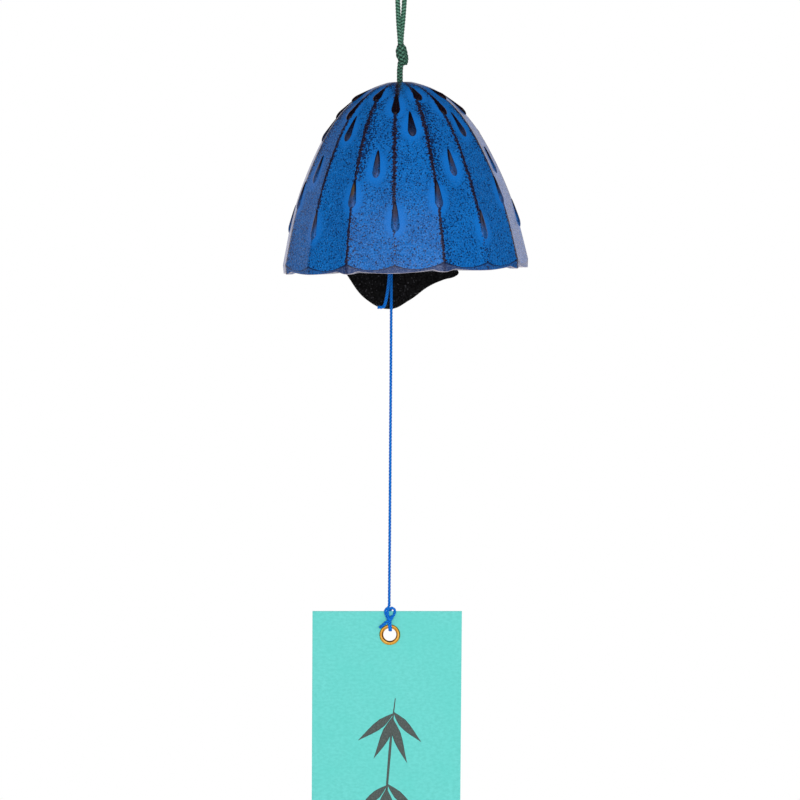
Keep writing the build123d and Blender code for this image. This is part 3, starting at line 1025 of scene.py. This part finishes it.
def halo_mark(depth, around, angle, drops):
    """How clear the coat is round the nearest drop."""
    clean = 0.0
    for drop_depth, at, _, slope, _ in drops:
        off = (angle - at + pi) % (2 * pi) - pi
        if abs(off) > HALO_ARC:
            continue
        down = (depth - drop_depth) / max(0.35, cos(slope))
        lengthwise = down / (HALO_BELOW if down > 0 else HALO_ABOVE)
        clean = max(clean, 1 - sqrt((off * around / HALO_SIDE) ** 2 + lengthwise ** 2))
    return step(0.0, 0.45, clean)


def rim_mark(kind, share):
    """Place on the rim: none on the wall, over the bevel, to the lower edge with its painted
    highlight.
    """
    if kind == "bevel" and share > 0:
        return 0.42 + 0.4 * share + (0.18 if share == 1 else 0)
    return {"edge": 1.0, "lip": 0.6}.get(kind, 0.0)


def shape_bell(bell, rows, drops):
    """Moves each point to its panel, ridge and rim, and paints what the coat has to know."""
    tag = bell.data.attributes["row"].data
    places = [rows[int(round(t.value))] for t in tag]
    paint = {name: [0.0] * len(places) for name in MARKS}
    for i, (kind, row_depth, radius) in enumerate(places):
        vertex = bell.data.vertices[i]
        angle = atan2(vertex.co.y, vertex.co.x)
        depth, around = bell_point(kind, row_depth, radius, angle)
        vertex.co = Vector((around * cos(angle), around * sin(angle), -depth)) * MM
        # how near the point faces the front or the back; this sets the strength of the bevel's
        # painted shade
        off_front = abs((angle - RIDGE_AT + pi) % (2 * pi) - pi)
        off_front = min(off_front, pi - off_front)
        paint["faces_front_back"][i] = 1 - step(radians(24), radians(46), off_front)
        paint["rim"][i] = rim_mark(kind, row_depth)
        if kind == "in" or (kind == "hole" and row_depth == HOLE_FOOT):
            paint["inside"][i] = 1.0
        if kind in ("out", "crown", "bevel"):
            paint["ridge"][i] = ridge_mark(depth, around, angle)
            paint["band"][i] = band_mark(depth, around, angle)
            paint["halo"][i] = halo_mark(depth, around, angle, drops)
    for name, values in paint.items():
        layer = bell.data.attributes.new(name, "FLOAT", "POINT")
        layer.data.foreach_set("value", values)
    face_outward(bell)


def drop_model():
    """One raised drop, tail up; gives it and each point's height, nearness to the foot and end."""
    bpy.ops.object.select_all(action="DESELECT")
    bpy.ops.mesh.primitive_uv_sphere_add(segments=20, ring_count=22, radius=1)
    model = bpy.context.active_object
    rise, foot, low_end = [], [], []
    for vertex in model.data.vertices:
        x, y, z = vertex.co
        wide = sqrt(x * x + y * y)
        turn = atan2(wide, z)
        if turn < pi / 2:
            t = 1 - turn / (pi / 2)
            r = DROP_R * (1 - t) ** 0.6
            z = t * (DROP_TAIL + DROP_LOWER)
        else:
            r = DROP_R * wide
            z = 1.9 * DROP_R * z
        z -= DROP_LOWER
        if wide > 1e-4:
            x, y = DROP_FLAT * x / wide * r, DROP_BROAD * y / wide * r
        rise.append(x - DROP_SUNK * (1 - max(0.0, min(1.0, z / DROP_TAIL))))
        foot.append(0.8 * step(-0.4, 2.0, -z))
        low_end.append(1 - step(-1.0, 4.0, z))
        vertex.co = Vector((x, y, z)) * MM
    for name in MARKS:
        model.data.attributes.new(name, "FLOAT", "POINT")
    return model, rise, foot, low_end


def add_drops(bell, drops):
    """Sets a copy of the drop at each place and joins them all to the casting."""
    model, rise, foot, low_end = drop_model()
    copies = []
    for depth, angle, radius, slope, level in drops:
        cover, dark = DROP_COVER[level], DROP_DARK[level]
        low, high = 0.14 + 0.36 * dark, 0.38 + 0.42 * dark
        shade = [(1 - step(low, high, h)) * (1 - f * (1 - dark)) for h, f in zip(rise, foot)]
        copy = link(bpy.data.objects.new("drop", model.data.copy()))
        layers = copy.data.attributes
        layers["drop"].data.foreach_set("value", [1 - cover * e for e in low_end])
        layers["edge"].data.foreach_set("value", shade)
        at = Matrix.Translation(Vector((radius - DROP_SUNK, 0, -depth)) * MM)
        copy.data.transform(Matrix.Rotation(angle, 4, "Z") @ at @ Matrix.Rotation(-slope, 4, "Y"))
        copies.append(copy)
    bpy.data.objects.remove(model)
    pick(bell)
    for copy in copies:
        copy.select_set(True)
    bpy.ops.object.join()


def make_bell(material):
    """The casting with its drops, leaning a little as it hangs."""
    rows, drops = bell_rows(), drop_places()
    bell = bell_blank(rows)
    shape_bell(bell, rows, drops)
    add_drops(bell, drops)
    lean = Matrix.Rotation(-BELL_LEAN, 4, "Y")
    bell.data.transform(Matrix.Translation((0, 0, BELL_TOP * MM)) @ lean)
    smooth(bell, 38)
    dress(bell, material, "bell", "blue_iron", "bell")


make_bell(blue_iron())


# Clapper

CLAPPER_EDGE = [
    (-21.9, 6.2), (-13.9, -8.1), (-7.6, -15.9), (-0.2, -18.8), (6.2, -15.9), (12.5, -11.4),
    (17.2, -9.3), (21.5, -7.9), (22.2, -7.0),
]
CLAPPER_Z = -114.8
CLAPPER_HALF = 0.5
CLAPPER_ROUND = 0.3
CLAPPER_HOLE = 1.5


def make_clapper(material):
    """A flat plate with rounded edges and a hole for its thread."""
    curve = bpy.data.curves.new("clapper_plate", "CURVE")
    curve.dimensions = "2D"
    curve.fill_mode = "BOTH"
    curve.resolution_u = 10
    curve.extrude = CLAPPER_HALF * MM
    curve.bevel_depth = CLAPPER_ROUND * MM
    curve.bevel_resolution = 3
    curve.offset = -CLAPPER_ROUND * MM
    outline = CLAPPER_EDGE + [(-x, -z) for x, z in CLAPPER_EDGE]
    turns = [k * pi / 4 for k in range(8)]
    hole = [(CLAPPER_HOLE * cos(a), CLAPPER_HOLE * sin(a)) for a in turns]
    for ring in (outline, hole):
        line = curve.splines.new("BEZIER")
        line.bezier_points.add(len(ring) - 1)
        for point, (x, z) in zip(line.bezier_points, ring):
            point.co = (x * MM, z * MM, 0)
            point.handle_left_type = point.handle_right_type = "AUTO"
        line.use_cyclic_u = True
    plate = link(bpy.data.objects.new("clapper_plate", curve))
    pick(plate)
    bpy.ops.object.convert(target="MESH")
    plate = bpy.context.active_object
    turn = Matrix.Rotation(pi / 2, 4, "X")
    plate.data.transform(Matrix.Translation((THREAD_X * MM, 0, CLAPPER_Z * MM)) @ turn)
    face_outward(plate, join=True)
    smooth(plate, 35)
    dress(plate, material, "clapper", "black_iron", "clapper")


make_clapper(black_iron())


# Strip, its ornament and its eyelet

STRIP_LEFT, STRIP_RIGHT = -28.75, 20.25
STRIP_TOP, STRIP_FOOT = -232.6, -392.6
STRIP_Y = -1.7
STRIP_T = 0.5
EYELET_X, EYELET_Z = -3.35, -240.35
EYELET_AT = (EYELET_X * MM, STRIP_Y * MM, EYELET_Z * MM)
PUNCH_R = 2.5
CARD_EDGE = 0.06


def card_bow(x, z):
    """How far the card bends away from its plane, as card does when it hangs."""
    wide, far = STRIP_RIGHT - STRIP_LEFT, (STRIP_TOP - z) / (STRIP_TOP - STRIP_FOOT)
    across = (x - (STRIP_LEFT + STRIP_RIGHT) / 2) / wide
    return 0.35 * sin(far * pi) * far - 0.12 * cos(across * pi) * far


def card_lean(z):
    """How far the card hangs aside of the plumb line through its eyelet."""
    return 0.0066 * (z - EYELET_Z)


def make_strip(material):
    """A card with a punched hole, bowed and leaning a little."""
    bpy.ops.object.select_all(action="DESELECT")
    bpy.ops.mesh.primitive_grid_add(x_subdivisions=24, y_subdivisions=80, size=1)
    strip = bpy.context.active_object
    strip.name = strip.data.name = "strip_card"
    wide, tall = STRIP_RIGHT - STRIP_LEFT, STRIP_TOP - STRIP_FOOT
    middle = ((STRIP_LEFT + STRIP_RIGHT) / 2, (STRIP_TOP + STRIP_FOOT) / 2)
    for vertex in strip.data.vertices:
        x, z = middle[0] + vertex.co.x * wide, middle[1] + vertex.co.y * tall
        vertex.co = Vector((x + card_lean(z), STRIP_Y + card_bow(x, z), z)) * MM
    solid = strip.modifiers.new("thickness", "SOLIDIFY")
    solid.thickness = STRIP_T * MM
    solid.offset = 0
    apply_all(strip)
    bpy.ops.object.select_all(action="DESELECT")
    bpy.ops.mesh.primitive_cylinder_add(
        vertices=48, radius=PUNCH_R * MM, depth=6 * MM, location=EYELET_AT, rotation=(pi / 2, 0, 0),
    )
    punch = bpy.context.active_object
    cut = strip.modifiers.new("punch", "BOOLEAN")
    cut.object = punch
    cut.operation = "DIFFERENCE"
    apply_all(strip)
    bpy.data.objects.remove(punch)
    edge = strip.modifiers.new("edge", "BEVEL")
    edge.width = CARD_EDGE * MM
    edge.segments = 2
    edge.angle_limit = radians(50)
    apply_all(strip)
    face_outward(strip)
    smooth(strip, 30)
    return dress(strip, material, "strip", "teal_card", "strip")


strip_card = make_strip(teal_card())

# Sprig of bamboo in brush ink, in places across and down the card: a leaf's ends, width, bend
TWIG = [
    (-1.4, -261.5), (-2.2, -268.0), (-3.2, -280.0), (-4.6, -300.0), (-4.2, -324.0), (-5.2, -352.0),
]
TWIG_WIDE = [0.3, 0.9, 0.6, 0.8, 0.6, 0.2]
LEAVES = [
    (-2.0, -266.5, -13.6, -275.5, 2.8, 1.2), (-2.2, -267.5, -8.4, -281.5, 3.0, 1.2),
    (-2.0, -266.0, 7.2, -276.0, 2.8, -1.2), (-2.3, -268.0, 2.6, -283.0, 2.9, -1.1),
    (-4.0, -290.5, -14.0, -299.0, 2.8, 1.2), (-4.1, -291.5, -9.0, -307.0, 3.0, 1.1),
    (-3.9, -290.0, 6.8, -300.5, 2.8, -1.2), (-4.1, -291.5, 0.4, -308.0, 2.9, -1.0),
    (-4.4, -318.0, -13.6, -328.0, 2.9, 1.2), (-4.4, -318.5, 6.0, -328.5, 2.8, -1.2),
    (-4.4, -320.0, -0.6, -338.0, 2.9, -1.0), (-5.0, -346.0, -13.0, -357.0, 2.9, 1.1),
    (-5.1, -347.0, -6.0, -369.0, 3.1, 0.8), (-5.0, -346.0, 4.0, -358.0, 2.8, -1.1),
]
LEAF_SHARES = [0.62, 1.0, 0.96, 0.7, 0.36]
LEAF_STEM, LEAF_TIP = 0.2, 0.08
INK_T = 0.03
INK_SIDES = 10


def brush_stroke(bm, points, widths):
    """One flat stroke of ink that lies on the card's face."""
    along = read_route([(x + card_lean(z), STRIP_Y, z) for x, z in points], 14)
    far, ahead, _, _ = follow(along)
    turns = [2 * pi * n / INK_SIDES for n in range(INK_SIDES)]
    rings = []
    for place, run, wide in zip(along, ahead, swelling(far, widths)):
        place.y = (STRIP_Y + card_bow(place.x / MM, place.z / MM) - STRIP_T / 2) * MM
        across = run.cross(Vector((0, 1, 0))) * (wide / 2)
        rings.append([place + across * cos(a) - Vector((0, INK_T * MM * sin(a), 0)) for a in turns])
    skin(bm, rings, far)


def make_ink(material):
    """The twig and its leaves, in one mesh of flat strokes."""
    bm = bmesh.new()
    brush_stroke(bm, TWIG, TWIG_WIDE)
    for x, z, end_x, end_z, wide, bend in LEAVES:
        middle = ((x + end_x) / 2 + bend, (z + end_z) / 2 + abs(bend) / 2)
        widths = [LEAF_STEM] + [share * wide for share in LEAF_SHARES] + [LEAF_TIP]
        brush_stroke(bm, [(x, z), middle, (end_x, end_z)], widths)
    ink = from_bmesh("strip_ink", bm)
    face_outward(ink)
    ink.data.materials.append(material)
    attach(ink, "strip")
    return ink


strip_ink = make_ink(brush_ink())

# radius and height before the card's middle, round the eyelet's section
EYELET_RING = [
    (3.42, 0.25), (3.42, 0.4), (3.36, 0.52), (3.24, 0.61), (3.05, 0.66), (2.85, 0.68),
    (2.65, 0.66), (2.47, 0.61), (2.33, 0.52), (2.22, 0.38), (2.15, 0.2), (2.13, 0.0),
    (2.13, -0.35), (2.2, -0.55), (2.45, -0.66), (2.8, -0.62), (3.1, -0.45), (3.15, -0.28),
    (2.44, -0.26), (2.44, 0.25),
]
EYELET_STEPS = 72


def make_eyelet(material):
    """A stamped ring, turned from its section."""
    ring = [(EYELET_X + r, STRIP_Y - h, EYELET_Z) for r, h in EYELET_RING]
    eyelet = new_profile("eyelet_ring", ring, closed=True)
    spin_round(eyelet, EYELET_STEPS, EYELET_AT, (0, 1, 0))
    face_outward(eyelet)
    smooth(eyelet, 60)
    dress(eyelet, material, "strip", "eyelet_brass", "eyelet")


make_eyelet(eyelet_brass())


# World, lamp and floor


def background(shader, color, strength):
    """Light from all round of a colour."""
    values = {"Color": color, "Strength": strength}
    return shader.node("ShaderNodeBackground", values).outputs[0]


def light_world():
    """An even room, another one for what shines, and white where the camera looks past."""
    world = bpy.data.worlds.new("studio")
    bpy.context.scene.world = world
    world.use_nodes = True
    world.node_tree.nodes.clear()
    s = Shader(world.node_tree)
    toward = s.node("ShaderNodeTexCoord").outputs["Generated"]
    axes = s.node("ShaderNodeSeparateXYZ", {"Vector": toward}).outputs
    # white sweep behind and below, a soft panel before the object, a dim room elsewhere
    behind = s.times(s.ramp(axes["Y"], 0.3, 0.92), s.ramp(axes["Z"], 0.5, 0.2))
    below = s.ramp(s.times(axes["Z"], -1.0), 0.3, 0.7)
    sweep = s.math("MAXIMUM", s.times(behind, 0.8), s.times(below, 0.5))
    beside = s.math("ABSOLUTE", s.plus(axes["X"], 0.08))
    panel = s.times(s.ramp(beside, 0.7, 0.45), s.ramp(axes["Y"], -0.35, -0.5))
    upright = s.times(s.ramp(axes["Z"], -0.5, -0.25), s.ramp(axes["Z"], 0.72, 0.36))
    panel = s.times(panel, upright)
    glow = s.math("MAXIMUM", sweep, panel)
    seen = s.mix(glow, (0.02, 0.02, 0.025, 1), (1.0, 0.95, 1.03, 1))
    room = background(s, (1, 1, 1, 1), 0.57)
    mirror = background(s, seen, 1.0)
    white = background(s, (1, 1, 1, 1), 1.0)
    ray = s.node("ShaderNodeLightPath").outputs
    shiny = s.plus(ray["Is Glossy Ray"], ray["Is Transmission Ray"], clamp=True)
    lit = s.node("ShaderNodeMixShader", {0: shiny, 1: room, 2: mirror}).outputs[0]
    shown = s.node("ShaderNodeMixShader", {0: ray["Is Camera Ray"], 1: lit, 2: white}).outputs[0]
    s.node("ShaderNodeOutputWorld", {"Surface": shown})


def set_softbox():
    """One broad lamp before the object, which no surface mirrors."""
    data = bpy.data.lights.new("front_softbox", "AREA")
    data.shape = "RECTANGLE"
    data.size = LAMP_WIDE
    data.size_y = LAMP_TALL
    data.energy = LAMP_POWER
    lamp = link(bpy.data.objects.new("front_softbox", data))
    aim_at(lamp, LAMP_AT, LAMP_AIM)
    lamp.visible_glossy = False


def make_floor():
    """A pale floor below the strip, which keeps the shadow."""
    bpy.ops.object.select_all(action="DESELECT")
    bpy.ops.mesh.primitive_circle_add(vertices=96, radius=FLOOR_R, fill_type="NGON")
    floor = bpy.context.active_object
    floor.name = floor.data.name = "studio_floor"
    floor.data.transform(Matrix.Translation((0, 0, FLOOR_Z)))
    material, s = new_material("pale_floor")
    cloud = s.noise(s.place(), 40.0, 3.0, 0.6)
    tone = s.mix(cloud, (0.86, 0.86, 0.86, 1), (0.91, 0.91, 0.91, 1))
    s.give("Base Color", tone)
    s.give("Roughness", s.ramp(cloud, 0.3, 0.7, 0.6, 0.75))
    floor.data.materials.append(material)


light_world()
set_softbox()
bpy.context.scene.view_settings.view_transform = "Standard"
make_floor()
